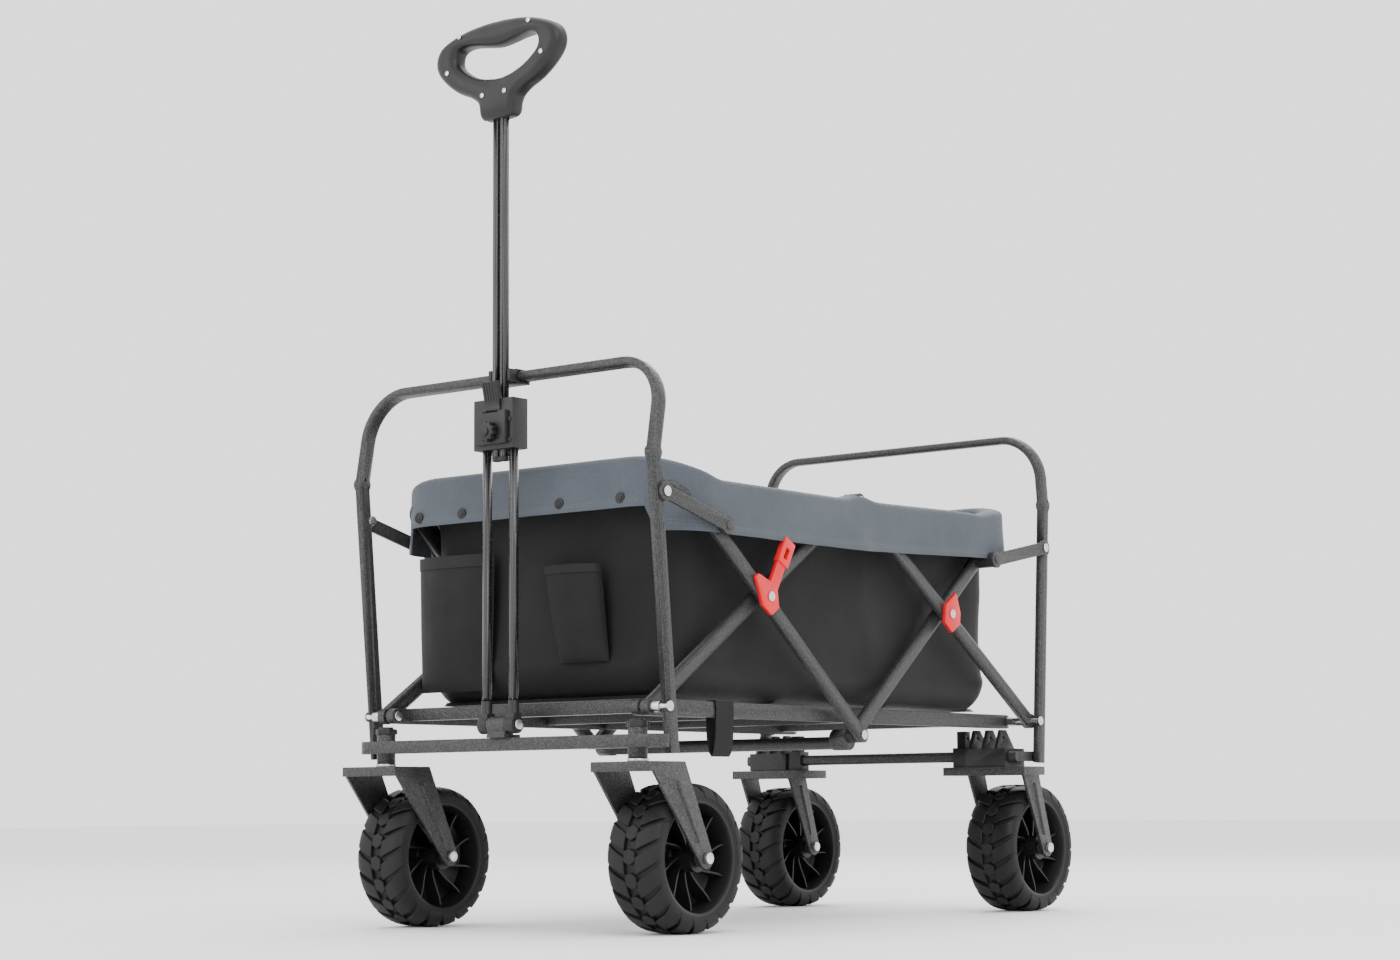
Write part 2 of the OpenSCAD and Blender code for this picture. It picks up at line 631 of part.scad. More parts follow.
// Tube under the floor between the two middle knuckles, with a plastic boss at each end
module knuckle_tube() color(steel) {
  half = layer_a - arm_t / 2;
  low = [knuckle[0], knuckle[1] - 10];
  across(low, -half, half, cross_d);
  both_sides() across([low[0], low[1] + 4], half - 24, half, cross_d + 11);
}

module links(post, leg_y) color(steel) both_sides() difference() {
  y0 = frame_w / 2 + 0.4;
  union() {
    translate([0, y0 + link_t, 0]) rotate([90, 0, 0]) linear_extrude(link_t) {
      d = post - link_pin;
      translate(link_pin) rotate(atan2(d[1], d[0])) translate([0, -link_w / 2 + 2]) square([norm(d), link_w - 4]);
      for (p = [post, link_pin]) translate(p) circle(d = link_w + 2);
    }
    across(link_pin, leg_y + arm_t / 2 + seat_gap, y0 + 1, link_w);
    across(link_pin, y0 + link_t - 1, y0 + link_t + 1.5, rivet_d + 4);
  }
  bore(post, y0, y0 + link_t, rivet_d);
}

module front_links() links(front_link_post, layer_b);
module rear_links() at_rear() links(rear_link_post, layer_a);

// ---- base ----

overlap = 14;
second_bar_x = 130;

// Half of the base: two rails on the fold pivots, and two bars between them
module base_frame(y) color(steel) {
  both_sides() difference() {
    union() {
      translate([-overlap, y - rail_t / 2, pivot_z - rail_h / 2]) cube([pivot[0] + overlap, rail_t, rail_h]);
      across(pivot, y - rail_t / 2, y + rail_t / 2, rail_h);
    }
    bore(pivot, y - rail_t, y + rail_t, rivet_d);
  }
  for (x = [second_bar_x, pivot[0] - 28]) translate([x - 9, -y + rail_t / 2, pivot_z - 6])
    cube([18, 2 * y - rail_t, rail_h / 2 + 6]);
}

module base_front_frame() {
  base_frame(front_rail_y);
  color(zinc) both_sides() across([0, pivot_z], front_rail_y + rail_t / 2, front_rail_y + rail_t / 2 + 2, rivet_d * 1.6);
}
module base_rear_frame() at_rear() base_frame(rear_rail_y);

module base_boards() color(black) {
  low = pivot_z + rail_h / 2 + cloth_t + 2 * seat_gap;
  translate([85, -board_y, low]) cube([tub_l / 2 - 97, 2 * board_y, board_t]);
}

module base_boards_front() base_boards();
module base_boards_rear() at_rear() base_boards();

// ---- cloth ----

tub_half_y = layer_a - arm_t / 2 - 5.5;
tub_low = pivot_z + rail_h / 2 + seat_gap;

tub_r = 45;

module tub_plan(grow) {
  r = tub_r + grow;
  square([tub_l - 2 * tub_r, 2 * (tub_half_y + grow)], center = true);
  square([tub_l + 2 * grow, 2 * (tub_half_y - tub_r)], center = true);
  for (x = [-1, 1], y = [-1, 1]) translate([x * (tub_l / 2 - tub_r), y * (tub_half_y - tub_r)]) circle(r = r);
}

module tub() color(black) translate([0, 0, tub_low]) difference() {
  linear_extrude(tub_top - tub_low) tub_plan(0);
  translate([0, 0, cloth_t]) linear_extrude(tub_top - tub_low) tub_plan(-cloth_t);
}

// Rim that turns over the top tubes and hangs down outside
module rim_flap() color(grey_cloth) {
  flap_h = 66;
  end_x = u_top[0] + top_half_x + seat_gap;
  end_y = layer_a - arm_t / 2 - 12;
  for (s = [0, 1]) mirror([s, 0, 0]) translate([end_x, -end_y, u_top[1] - flap_h + 24]) cube([cloth_t, 2 * end_y, flap_h]);
  both_sides() translate([-130, layer_b + arm_t / 2 + 2 + seat_gap, tub_top - flap_h]) cube([260, cloth_t, flap_h]);
}

module place() translate([place_x, 0, 0]) children();

place() front_hoop();
place() front_bumper();
place() socket_caps();
place() handle_bracket();
place() handle_pivot_bolt();
place() front_pivot_bolts();
place() handle_clip();
place() handle_tubes();
place() handle_knuckles();
place() clamp_block();
place() clamp_knob();
place() clamp_tab();
place() shaft_tubes();
place() shaft_end_plug();
place() grip_front_shell();
place() grip_rear_shell();
place() grip_screws();
place() at_front(1) castor_fork();  // castor_fork_left
place() at_front(-1) castor_fork();  // castor_fork_right
place() at_front(1) kingpin();  // kingpin_left
place() at_front(-1) kingpin();  // kingpin_right
place() at_front(1) axle(front_wheel_x);  // front_axle_left
place() at_front(-1) axle(front_wheel_x);  // front_axle_right
place() at_front(1) tyre(front_wheel_x);  // tyre_front_left
place() at_front(-1) tyre(front_wheel_x);  // tyre_front_right
place() at_back(1) tyre(rear_wheel_x);  // tyre_rear_left
place() at_back(-1) tyre(rear_wheel_x);  // tyre_rear_right
place() at_front(1) rim(front_wheel_x);  // rim_front_left
place() at_front(-1) rim(front_wheel_x);  // rim_front_right
place() at_back(1) rim(rear_wheel_x);  // rim_rear_left
place() at_back(-1) rim(rear_wheel_x);  // rim_rear_right
place() at_front(1) bush(front_wheel_x);  // bush_front_left
place() at_front(-1) bush(front_wheel_x);  // bush_front_right
place() at_back(1) bush(rear_wheel_x);  // bush_rear_left
place() at_back(-1) bush(rear_wheel_x);  // bush_rear_right
place() rear_hoop();
place() rear_crossbar();
place() rear_brackets();
place() rear_forks();
place() rear_axles();
place() rear_pivot_bolts();
place() front_arms();
place() front_u_frame();
place() front_arm_rivets();
place() lock_lever();  // lock_lever_left
place() mirror([0, 1, 0]) lock_lever();  // lock_lever_right
place() rear_arms();
place() rear_u_frame();
place() rear_arm_rivets();
place() rear_arm_clips();
place() knuckle_tube();
place() front_links();
place() rear_links();
place() base_front_frame();
place() base_rear_frame();
place() base_boards_front();
place() base_boards_rear();
place() tub();
place() rim_flap();
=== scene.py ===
# %% [markdown]
# A folding beach cart: a scissor frame of oval tube, a cloth tub with a grey rim, two castors in front,
# two fixed wheels behind, and a pull handle that slides and tilts.
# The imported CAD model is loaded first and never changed. Everything that shows is modelled round it.

# %% Load the frame
import json
import math
import bpy
from mathutils import Matrix, Vector, noise

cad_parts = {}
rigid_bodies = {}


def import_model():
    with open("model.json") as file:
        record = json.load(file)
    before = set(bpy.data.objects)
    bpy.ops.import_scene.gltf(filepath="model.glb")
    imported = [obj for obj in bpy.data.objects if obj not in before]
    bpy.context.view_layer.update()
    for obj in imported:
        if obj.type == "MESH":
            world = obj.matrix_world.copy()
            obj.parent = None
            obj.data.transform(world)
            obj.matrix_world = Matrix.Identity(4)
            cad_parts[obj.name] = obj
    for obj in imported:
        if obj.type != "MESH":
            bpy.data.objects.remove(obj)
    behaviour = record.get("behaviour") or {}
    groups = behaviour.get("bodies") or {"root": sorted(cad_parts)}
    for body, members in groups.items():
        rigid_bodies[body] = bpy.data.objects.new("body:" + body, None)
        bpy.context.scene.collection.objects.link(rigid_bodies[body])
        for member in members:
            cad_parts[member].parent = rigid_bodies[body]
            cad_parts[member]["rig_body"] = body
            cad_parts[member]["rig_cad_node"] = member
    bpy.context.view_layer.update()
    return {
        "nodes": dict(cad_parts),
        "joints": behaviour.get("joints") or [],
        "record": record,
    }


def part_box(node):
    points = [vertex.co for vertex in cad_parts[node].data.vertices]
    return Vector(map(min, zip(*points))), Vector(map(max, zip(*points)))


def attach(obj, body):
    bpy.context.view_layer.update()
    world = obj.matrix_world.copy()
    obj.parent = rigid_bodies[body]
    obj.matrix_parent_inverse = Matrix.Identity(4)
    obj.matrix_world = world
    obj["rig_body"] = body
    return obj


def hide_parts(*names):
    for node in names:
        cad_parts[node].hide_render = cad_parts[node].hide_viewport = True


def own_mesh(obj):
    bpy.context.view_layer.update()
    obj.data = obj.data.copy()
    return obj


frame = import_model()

# %% [markdown]
# Sizes are easier to read in millimetres, so a point is written in millimetres from the middle of the
# wheelbase and turned into metres here. The fold pivots show how far the model stands from that middle.

# %% Units
def pivots_middle():
    front, rear = frame["joints"], frame["joints"]
    xs = [j["pos_m"][0] for j in front + rear if j["name"] in ("front_arm_fold", "rear_arm_fold")]
    return sum(xs) / len(xs) * 1000

shift = pivots_middle()

def at(x, y, z):
    return Vector(((x + shift) / 1000, y / 1000, z / 1000))

print("shift", round(shift, 2))

# %% [markdown]
# An operator works on whatever is selected, and the loaded nodes all are, so each piece starts by
# deselecting. A finished piece has its place in its mesh, smooth shading with sharp creases kept,
# a body that carries it, and the finish it wears.

# %% Starting and finishing a piece
def nothing_selected():
    if bpy.context.object and bpy.context.object.mode != "OBJECT":
        bpy.ops.object.mode_set(mode="OBJECT")
    bpy.ops.object.select_all(action="DESELECT")

def only(piece):
    nothing_selected()
    piece.select_set(True)
    bpy.context.view_layer.objects.active = piece

def apply_modifiers(piece):
    only(piece)
    for modifier in list(piece.modifiers):
        bpy.ops.object.modifier_apply(modifier=modifier.name)

def soft_edges(piece, width, segments=2, angle=35):
    bevel = piece.modifiers.new("edges", "BEVEL")
    bevel.width, bevel.segments = width / 1000, segments
    bevel.limit_method, bevel.angle_limit = "ANGLE", math.radians(angle)
    apply_modifiers(piece)

def done(piece, name, body, slot, finish, angle=35, replaces=()):
    only(piece)
    bpy.ops.object.transform_apply(location=True, rotation=True, scale=True)
    bpy.ops.object.shade_smooth_by_angle(angle=math.radians(angle))
    piece.name = piece.data.name = name
    piece.data.materials.clear()
    piece.data.materials.append(finish)
    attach(piece, body)
    if replaces:
        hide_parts(*replaces)
    return piece

# %% [markdown]
# Cloth, ribs, tread blocks and straps are all sheets of quads that are bent into place. A grid
# primitive gives even quads with a UV map, and one function says where each point of it goes.

# %% Bending a grid
def bent_grid(nx, ny, place, close_x=False, close_y=False, fill=False):
    nothing_selected()
    bpy.ops.mesh.primitive_grid_add(x_subdivisions=nx, y_subdivisions=ny, size=2, calc_uvs=True)
    piece = bpy.context.object
    for vertex in piece.data.vertices:
        u, v = (vertex.co.x + 1) / 2, (vertex.co.y + 1) / 2
        vertex.co = place(u, v)
    bpy.ops.object.mode_set(mode="EDIT")
    bpy.ops.mesh.select_all(action="SELECT")
    if close_x or close_y:
        bpy.ops.mesh.remove_doubles(threshold=0.00002)
    if fill:
        bpy.ops.mesh.fill_holes(sides=0)
    bpy.ops.mesh.normals_make_consistent(inside=False)
    bpy.ops.object.mode_set(mode="OBJECT")
    return piece

def thicken(piece, mm, offset=0.0):
    solid = piece.modifiers.new("wall", "SOLIDIFY")
    solid.thickness, solid.offset = mm / 1000, offset
    apply_modifiers(piece)

def join(pieces):
    nothing_selected()
    for piece in pieces:
        piece.select_set(True)
    bpy.context.view_layer.objects.active = pieces[0]
    bpy.ops.object.join()
    return bpy.context.object

def own_copy(piece):
    only(piece)
    bpy.ops.object.duplicate(linked=False)
    return bpy.context.object

# %% [markdown]
# A material here is written as sums. The class wraps one socket, and each operator adds the node
# that works it out, so `0.5 + grain * 0.2` reads as it would on paper.

# %% Shader sums
class Shade:
    def __init__(self, finish, socket):
        self.finish, self.socket = finish, socket

    def _sum(self, operation, a, b):
        made = self.finish.add("ShaderNodeMath", {"operation": operation}, {0: a, 1: b})
        return Shade(self.finish, made.outputs[0])

    def __add__(self, other): return self._sum("ADD", self, other)
    def __radd__(self, other): return self._sum("ADD", other, self)
    def __sub__(self, other): return self._sum("SUBTRACT", self, other)
    def __rsub__(self, other): return self._sum("SUBTRACT", other, self)
    def __mul__(self, other): return self._sum("MULTIPLY", self, other)
    def __rmul__(self, other): return self._sum("MULTIPLY", other, self)
    def __gt__(self, other): return self._sum("GREATER_THAN", self, other)
    def __lt__(self, other): return self._sum("LESS_THAN", self, other)
    def wave(self): return self._sum("SINE", self, 0.0)
    def size(self): return self._sum("ABSOLUTE", self, 0.0)
    def least(self, other): return self._sum("MINIMUM", self, other)
    def most(self, other): return self._sum("MAXIMUM", self, other)


class Finish:
    def __init__(self, name, **uniform):
        self.material = bpy.data.materials.new(name)
        self.material.use_nodes = True
        self.nodes = self.material.node_tree.nodes
        self.links = self.material.node_tree.links
        self.shader = self.nodes["Principled BSDF"]
        for socket, value in uniform.items():
            self.shader.inputs[socket.replace("_", " ")].default_value = value

    def add(self, kind, settings=None, inputs=None):
        made = self.nodes.new(kind)
        for key, value in (settings or {}).items():
            setattr(made, key, value)
        for key, value in (inputs or {}).items():
            if isinstance(value, Shade):
                self.links.new(value.socket, made.inputs[key])
            else:
                made.inputs[key].default_value = value
        return made

    def place(self, which="Object"):
        return Shade(self, self.add("ShaderNodeTexCoord").outputs[which])

    def axis(self, which, coords):
        split = self.add("ShaderNodeSeparateXYZ", inputs={0: coords})
        return Shade(self, split.outputs["XYZ".index(which)])

    def noise(self, scale, detail=3.0, rough=0.5, coords=None):
        made = self.add("ShaderNodeTexNoise", inputs={
            "Vector": coords or self.place(), "Scale": scale, "Detail": detail, "Roughness": rough})
        return Shade(self, made.outputs[0])

    def cells(self, scale, feature="F1"):
        made = self.add("ShaderNodeTexVoronoi", {"feature": feature}, {"Vector": self.place(), "Scale": scale})
        return Shade(self, made.outputs["Distance"])

    def ramp(self, value, low, high):
        made = self.add("ShaderNodeMapRange", inputs={"Value": value, "From Min": low, "From Max": high})
        return Shade(self, made.outputs[0])

    def mix(self, mask, one, other):
        made = self.add("ShaderNodeMix", {"data_type": "RGBA"}, {0: mask, 6: one, 7: other})
        return Shade(self, made.outputs[2])

    def feed(self, socket, value):
        self.links.new(value.socket, self.shader.inputs[socket])

    def bump(self, height, mm, strength=1.0):
        made = self.add("ShaderNodeBump", inputs={"Height": height, "Distance": mm / 1000, "Strength": strength})
        self.links.new(made.outputs[0], self.shader.inputs["Normal"])


def grey(v, tint=(0, 0, 0)):
    return (v + tint[0], v + tint[1], v + tint[2], 1.0)

# %% [markdown]
# The frame has a hammered charcoal powder coat: small pits with soft rims, slightly uneven gloss, and a
# paler dust in the rims of the pits. Cells give the pits and a coarse noise the drift of the gloss.

# %% Powder coat
def powder_coat(name, dark, pale, pit_mm=0.5):
    f = Finish(name, Metallic=0.3, Specular_IOR_Level=0.36)
    pits = f.ramp(f.cells(420.0), 0.1, 0.75)
    drift = f.noise(9.0, 4.0)
    speck = f.ramp(f.noise(900.0, 2.0), 0.5, 0.72)
    f.feed("Base Color", f.mix((pits * 0.55 + speck * 0.45).least(1.0), dark, pale))
    f.feed("Roughness", 0.36 + drift * 0.16 - pits * 0.06)
    f.bump(pits + speck * 0.25, pit_mm, 0.55)
    return f.material

frame_paint = powder_coat("hammered_charcoal", grey(0.012), grey(0.075, (0.0, 0.001, 0.003)))

# %% [markdown]
# The handle tubes wear a smoother gloss black with a fine orange peel.

# %% Gloss black
def gloss_black():
    f = Finish("gloss_black_tube", Coat_Roughness=0.12, Specular_IOR_Level=0.5)
    peel = f.noise(380.0, 2.0)
    f.feed("Base Color", f.mix(f.ramp(f.noise(14.0), 0.3, 0.7), grey(0.006), grey(0.012)))
    f.feed("Roughness", 0.2 + peel * 0.12)
    f.feed("Coat Weight", 0.35 + peel * 0.2)
    f.bump(peel, 0.12, 0.35)
    return f.material

tube_black = gloss_black()

# %% [markdown]
# Moulded plastic has a spark-eroded grain: fine, even and dull. A few broad patches are handled shinier.

# %% Moulded plastic
def moulded(name, dark, pale, rough, grain_scale=700.0, grain_mm=0.12):
    f = Finish(name, Specular_IOR_Level=0.34)
    grain = f.noise(grain_scale, 3.0)
    patch = f.ramp(f.noise(24.0, 3.0), 0.35, 0.7)
    f.feed("Base Color", f.mix(patch * 0.6 + grain * 0.4, dark, pale))
    f.feed("Roughness", rough + grain * 0.12 - patch * 0.08)
    f.bump(grain, grain_mm, 0.5)
    return f.material

black_plastic = moulded("grained_black_plastic", grey(0.006), grey(0.014), 0.4)
red_plastic = moulded("red_latch_plastic", (0.56, 0.006, 0.012, 1), (0.78, 0.012, 0.02, 1), 0.3, 500.0, 0.06)
bush_plastic = moulded("satin_bush_plastic", grey(0.02), grey(0.035), 0.35)
rim_plastic = moulded("rim_plastic", grey(0.005), grey(0.011), 0.36, 520.0, 0.1)

# %% [markdown]
# Bolts and rivets are zinc plated: bright, with fine turning marks and faint darker stains.

# %% Zinc
def zinc():
    f = Finish("zinc_plate", Metallic=1.0)
    stain = f.ramp(f.noise(120.0, 4.0), 0.35, 0.75)
    f.feed("Base Color", f.mix(stain, grey(0.72, (0.0, 0.005, 0.02)), grey(0.46, (0.01, 0.0, 0.0))))
    f.feed("Roughness", 0.24 + stain * 0.2)
    f.bump(f.noise(1400.0, 2.0), 0.05, 0.4)
    return f.material

zinc_plate = zinc()

# %% [markdown]
# Tyre rubber is nearly black, dull on the sides and a little dusty and scuffed on top of the lugs.

# %% Rubber
def rubber():
    f = Finish("tyre_rubber", Specular_IOR_Level=0.24)
    dust = f.ramp(f.noise(38.0, 5.0, 0.6), 0.42, 0.75)
    pores = f.noise(800.0, 3.0)
    f.feed("Base Color", f.mix(dust * 0.7 + pores * 0.2, grey(0.0055), grey(0.015, (0.0005, 0.0, 0.0))))
    f.feed("Roughness", 0.46 + dust * 0.18 + pores * 0.08)
    f.bump(pores + dust * 0.5, 0.18, 0.5)
    return f.material

rubber_black = rubber()

# %% [markdown]
# The tub is coated polyester. Its threads run along the cloth, so the weave reads the UV map, laid out in
# metres. Two sine waves make the basket of threads, and broad noise makes the coating patchy.

# %% Cloth
def cloth(name, dark, pale, thread_mm=0.9, rough=0.62, sheen=0.03, seams=()):
    f = Finish(name, Sheen_Weight=sheen, Sheen_Roughness=0.4, Specular_IOR_Level=0.18)
    uv = f.place("UV")
    turn = 2 * math.pi / (thread_mm / 1000)
    warp = (f.axis("X", uv) * turn).wave()
    weft = (f.axis("Y", uv) * turn).wave()
    weave = warp * weft * 0.5 + 0.5
    patch = f.ramp(f.noise(7.0, 5.0, 0.55), 0.3, 0.7)
    slub = f.ramp(f.noise(260.0, 2.0), 0.45, 0.8)
    stitches = 0.0
    dashes = (f.axis("X", uv) * (2 * math.pi / 0.0048)).wave() > -0.35
    for row in seams:
        stitches = ((f.axis("Y", uv) - row).size() < 0.0006) * dashes + stitches
    f.feed("Base Color", f.mix((weave * 0.45 + patch * 0.35 + slub * 0.2 + stitches).least(1.0), dark, pale))
    f.feed("Roughness", rough - patch * 0.12 + weave * 0.08)
    f.bump(weave + slub * 0.4 + f.noise(30.0, 4.0) * 1.4 + stitches * 2.5, 0.28, 0.5)
    return f.material

tub_cloth = cloth("black_polyester", grey(0.0035, (0, 0, 0.0004)), grey(0.0105, (0, 0, 0.0006)), rough=0.56,
                  seams=(0.176, 0.18))
rim_cloth = cloth("blue_grey_polyester", (0.050, 0.059, 0.070, 1), (0.092, 0.105, 0.122, 1), rough=0.66,
                  seams=(0.1475, 0.1515))
strap_cloth = cloth("black_webbing", grey(0.005), grey(0.016), thread_mm=1.8, rough=0.6)

# %% [markdown]
# Every CAD node gets its finish first, so that nothing is left plain whatever is modelled over it.

# %% Finishes for the CAD nodes
finishes = {
    "painted_frame": frame_paint, "black_tube": tube_black, "zinc": zinc_plate, "black_plastic": black_plastic,
    "red_plastic": red_plastic, "tyre_rubber": rubber_black, "bush_nylon": bush_plastic, "tub_cloth": tub_cloth,
    "rim_cloth": rim_cloth, "board_cloth": strap_cloth}
slot_of = {s["node"]: s["material_slot"] for s in frame["record"]["subparts"]}
body_of = {n: b for b, names in frame["record"]["behaviour"]["bodies"].items() for n in names}
for name, node in frame["nodes"].items():
    node.data.materials.clear()
    node.data.materials.append(finishes[slot_of[name]])

# %% [markdown]
# A real moulding or pressing never has a razor edge. Each hard part is copied from its CAD node, its loose
# triangles are merged, flat areas are joined into single faces, and the edges get a small bevel.

# %% Softening the CAD parts
def softened(node, width, angle=35, segments=2):
    source = frame["nodes"][node]
    piece = source.copy()
    piece.data = source.data.copy()
    bpy.context.scene.collection.objects.link(piece)
    piece.parent = None
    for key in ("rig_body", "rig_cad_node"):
        if key in piece:
            del piece[key]
    only(piece)
    bpy.ops.object.mode_set(mode="EDIT")
    bpy.ops.mesh.select_all(action="SELECT")
    bpy.ops.mesh.remove_doubles(threshold=0.00001)
    if width:
        bpy.ops.mesh.dissolve_limited(angle_limit=math.radians(2))
    bpy.ops.object.mode_set(mode="OBJECT")
    if width:
        soft_edges(piece, width, segments, angle)
    slot = slot_of[node]
    return done(piece, node + "_shown", body_of[node], slot, finishes[slot], 32, [node])

round_parts = [
    "front_hoop", "rear_hoop", "front_u_frame", "rear_u_frame", "front_arms", "rear_arms", "handle_tubes",
    "shaft_tubes", "knuckle_tube", "rear_crossbar"]
edged_parts = {
    "front_bumper": 1.5, "handle_bracket": 1, "handle_clip": 1, "handle_knuckles": 1.2, "clamp_block": 2,
    "clamp_knob": 0.8, "clamp_tab": 1.2, "shaft_end_plug": 0.6, "castor_fork_left": 0.8, "castor_fork_right": 0.8,
    "rear_brackets": 1, "rear_forks": 0.8, "lock_lever_left": 1.6, "lock_lever_right": 1.6, "rear_arm_clips": 1.6,
    "front_links": 0.9, "rear_links": 0.9, "base_front_frame": 1.5, "base_rear_frame": 1.5, "socket_caps": 0.8,
    "handle_pivot_bolt": 0.8, "front_pivot_bolts": 0.7, "rear_pivot_bolts": 0.7, "front_arm_rivets": 0.7,
    "rear_arm_rivets": 0.7, "grip_screws": 0.5, "kingpin_left": 0.6, "kingpin_right": 0.6,
    "front_axle_left": 0.8, "front_axle_right": 0.8, "rear_axles": 0.8, "bush_front_left": 0.5,
    "bush_front_right": 0.5, "bush_rear_left": 0.5, "bush_rear_right": 0.5}
for part in round_parts:
    softened(part, 0)
for part, width in edged_parts.items():
    softened(part, width)
print("softened", len(round_parts) + len(edged_parts))

# %% [markdown]
# A tyre is a lathe shape with lugs on it. The carcass is a profile wound once round the axle. Each lug is
# a small bent sheet, thickened inwards, and eighteen pitches of two lugs and a middle block make the tread.

# %% Tyre carcass
wheel_r, tread_half, pitches = 91.0, 40.0, 19
carcass = [(67.5, -33), (69.5, -37.6), (73, -38.9), (78.5, -38.9), (82, -36.8), (84.4, -32), (85.6, -22),
           (86.2, -10), (86.3, 0)]
carcass = carcass + [(r, -y) for r, y in reversed(carcass[:-1])] + [(66.2, 26), (66.2, -26)]

def along(points, v):
    spot = v * (len(points) - 1)
    i = min(int(spot), len(points) - 2)
    a, b = points[i], points[i + 1]
    return [a[k] + (b[k] - a[k]) * (spot - i) for k in range(len(a))]

def round_axle(r, y, turn):
    return Vector((r * math.sin(turn), y, r * math.cos(turn))) / 1000

ring = carcass + carcass[:1]
tyre = bent_grid(72, len(ring) - 1, lambda u, v: round_axle(*along(ring, v), 2 * math.pi * u), True, True)

# %% Tread lugs
lug_line = [(8.6, 90.9), (16, 90.8), (24, 90.4), (31, 89.2), (36, 86.6), (39, 82.4), (39.9, 77.0), (39.6, 72.8)]

def lug(side, turn):
    def place(u, v):
        y, r = along(lug_line, v)
        lean = math.radians(15.5) * (1 - v) ** 1.15
        half = math.radians(6.6 + 1.6 * v)
        return round_axle(r, side * y, turn + lean + (2 * u - 1) * half)
    piece = bent_grid(2, 8, place)
    bpy.ops.object.mode_set(mode="EDIT")
    bpy.ops.mesh.normals_make_consistent(inside=False)
    if side < 0:
        bpy.ops.mesh.flip_normals()
    bpy.ops.object.mode_set(mode="OBJECT")
    return piece

def outward(piece):
    mesh = piece.data
    up = sum((p.normal.dot(p.center.normalized()) for p in mesh.polygons))
    if up < 0:
        mesh.flip_normals()

def block(turn):
    def place(u, v):
        along_y = (2 * v - 1) * 8.4
        half = math.radians(6.6) * (1 - 0.45 * abs(2 * v - 1))
        return round_axle(90.9, along_y, turn + (2 * u - 1) * half)
    return bent_grid(2, 2, place)

tread = []
for k in range(pitches):
    turn = 2 * math.pi * k / pitches
    for made in (lug(1, turn), lug(-1, turn), block(turn + math.radians(8.2))):
        outward(made)
        thicken(made, 6.5, -1.0)
        tread.append(made)
tread = join(tread)
soft_edges(tread, 0.9, 1, 40)
tyre = join([tyre, tread])
print("tyre faces", len(tyre.data.polygons))

# %% [markdown]
# The rim is a deep dish: a rolled flange, a wall that runs in to a thin web, a hub, and ten thin curved
# ribs. The ribs are one bent sheet, copied round the hub on both faces.

# %% Rim
dish = [(17, 34), (17, 6), (19, 3.2), (57, 3.2), (61.5, 6), (64.4, 32), (66.4, 36.2), (69.4, 37.4), (71.2, 35.6),
        (71.2, 33), (67.2, 30.5), (66.4, 22)]
dish = dish + [(r, -y) for r, y in reversed(dish)]
dish = [(8.3, 34)] + dish + [(8.3, -34), (8.3, 34)]
rim = bent_grid(72, len(dish) - 1, lambda u, v: round_axle(*along(dish, v), 2 * math.pi * u), True, True)

def rib(side, turn):
    def place(u, v):
        r = 16 + 47 * v
        depth = 3 + (16 + 7 * v) * u
        return round_axle(r, side * depth, turn + math.radians(20) * math.sin(v * 1.7))
    piece = bent_grid(1, 6, place)
    thicken(piece, 2.2, 0.0)
    return piece

ribs = join([rib(side, 2 * math.pi * (k + 0.25 * side) / 10) for side in (1, -1) for k in range(10)])
rim = join([rim, ribs])

# %% [markdown]
# Each wheel gets its own copy of the tyre and the rim, moved onto its axle and turned a little, so that
# the lugs don't line up from wheel to wheel.

# %% Four wheels
wheel_turn = {"front_left": 4, "front_right": 11, "rear_left": 7, "rear_right": 15}
for wheel, turned in wheel_turn.items():
    low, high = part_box("tyre_" + wheel)
    centre = (low + high) / 2
    for model, node, slot in ((tyre, "tyre_", "tyre_rubber"), (rim, "rim_", "black_plastic")):
        copy = own_copy(model)
        copy.data.transform(Matrix.Translation(centre) @ Matrix.Rotation(math.radians(turned), 4, "Y"))
        material = rubber_black if model is tyre else rim_plastic
        done(copy, node + wheel + "_shown", "wheel_" + wheel, slot, material, 32, [node + wheel])
for model in (tyre, rim):
    bpy.data.objects.remove(model)
print("wheels", len(wheel_turn))

# %% [markdown]
# The grip is one closed loop with an oval section. Two curves lead it, the outside and the hole, and the
# section between them is turned fully round. A shallow groove shows where its two shells meet.

# %% Grip
outside = [(0, 1160), (20, 1159.5), (50, 1156), (79, 1148), (99, 1138), (107, 1123), (104, 1107), (89, 1090),
           (68, 1075), (46, 1065), (33, 1055), (29, 1045), (27, 1033), (14, 1030), (0, 1030)]
hole = [(0, 1127), (18, 1129), (40, 1133), (57, 1134), (67, 1130), (70, 1120), (67, 1111), (58, 1103), (45, 1095),
        (33, 1090), (22, 1087), (14, 1086), (8, 1085.3), (4, 1085), (0, 1085)]

def smooth_along(points, v):
    spot = v * (len(points) - 1)
    i = min(int(spot), len(points) - 2)
    t = spot - i
    a, b = points[i], points[i + 1]
    before = points[i - 1] if i else (-points[1][0], points[1][1])
    after = points[i + 2] if i + 2 < len(points) else (-points[-2][0], points[-2][1])
    return [0.5 * (2 * a[k] + (b[k] - before[k]) * t + (2 * before[k] - 5 * a[k] + 4 * b[k] - after[k]) * t * t
                   + (3 * a[k] - before[k] - 3 * b[k] + after[k]) * t ** 3) for k in (0, 1)]

def grip_place(u, v):
    side, walk = (1, 2 * u) if u < 0.5 else (-1, 2 - 2 * u)
    oy, oz = smooth_along(outside, walk)
    hy, hz = smooth_along(hole, walk)
    a = 2 * math.pi * v
    across = math.copysign(abs(math.cos(a)) ** 0.8, math.cos(a))
    through = math.copysign(abs(math.sin(a)) ** 0.72, math.sin(a))
    if v < 0.01 or v > 0.99:
        across -= 0.045
    mid_y, mid_z = (oy + hy) / 2, (oz + hz) / 2
    return at(450 + 15 * through, side * (mid_y + (oy - hy) / 2 * across), mid_z + (oz - hz) / 2 * across)

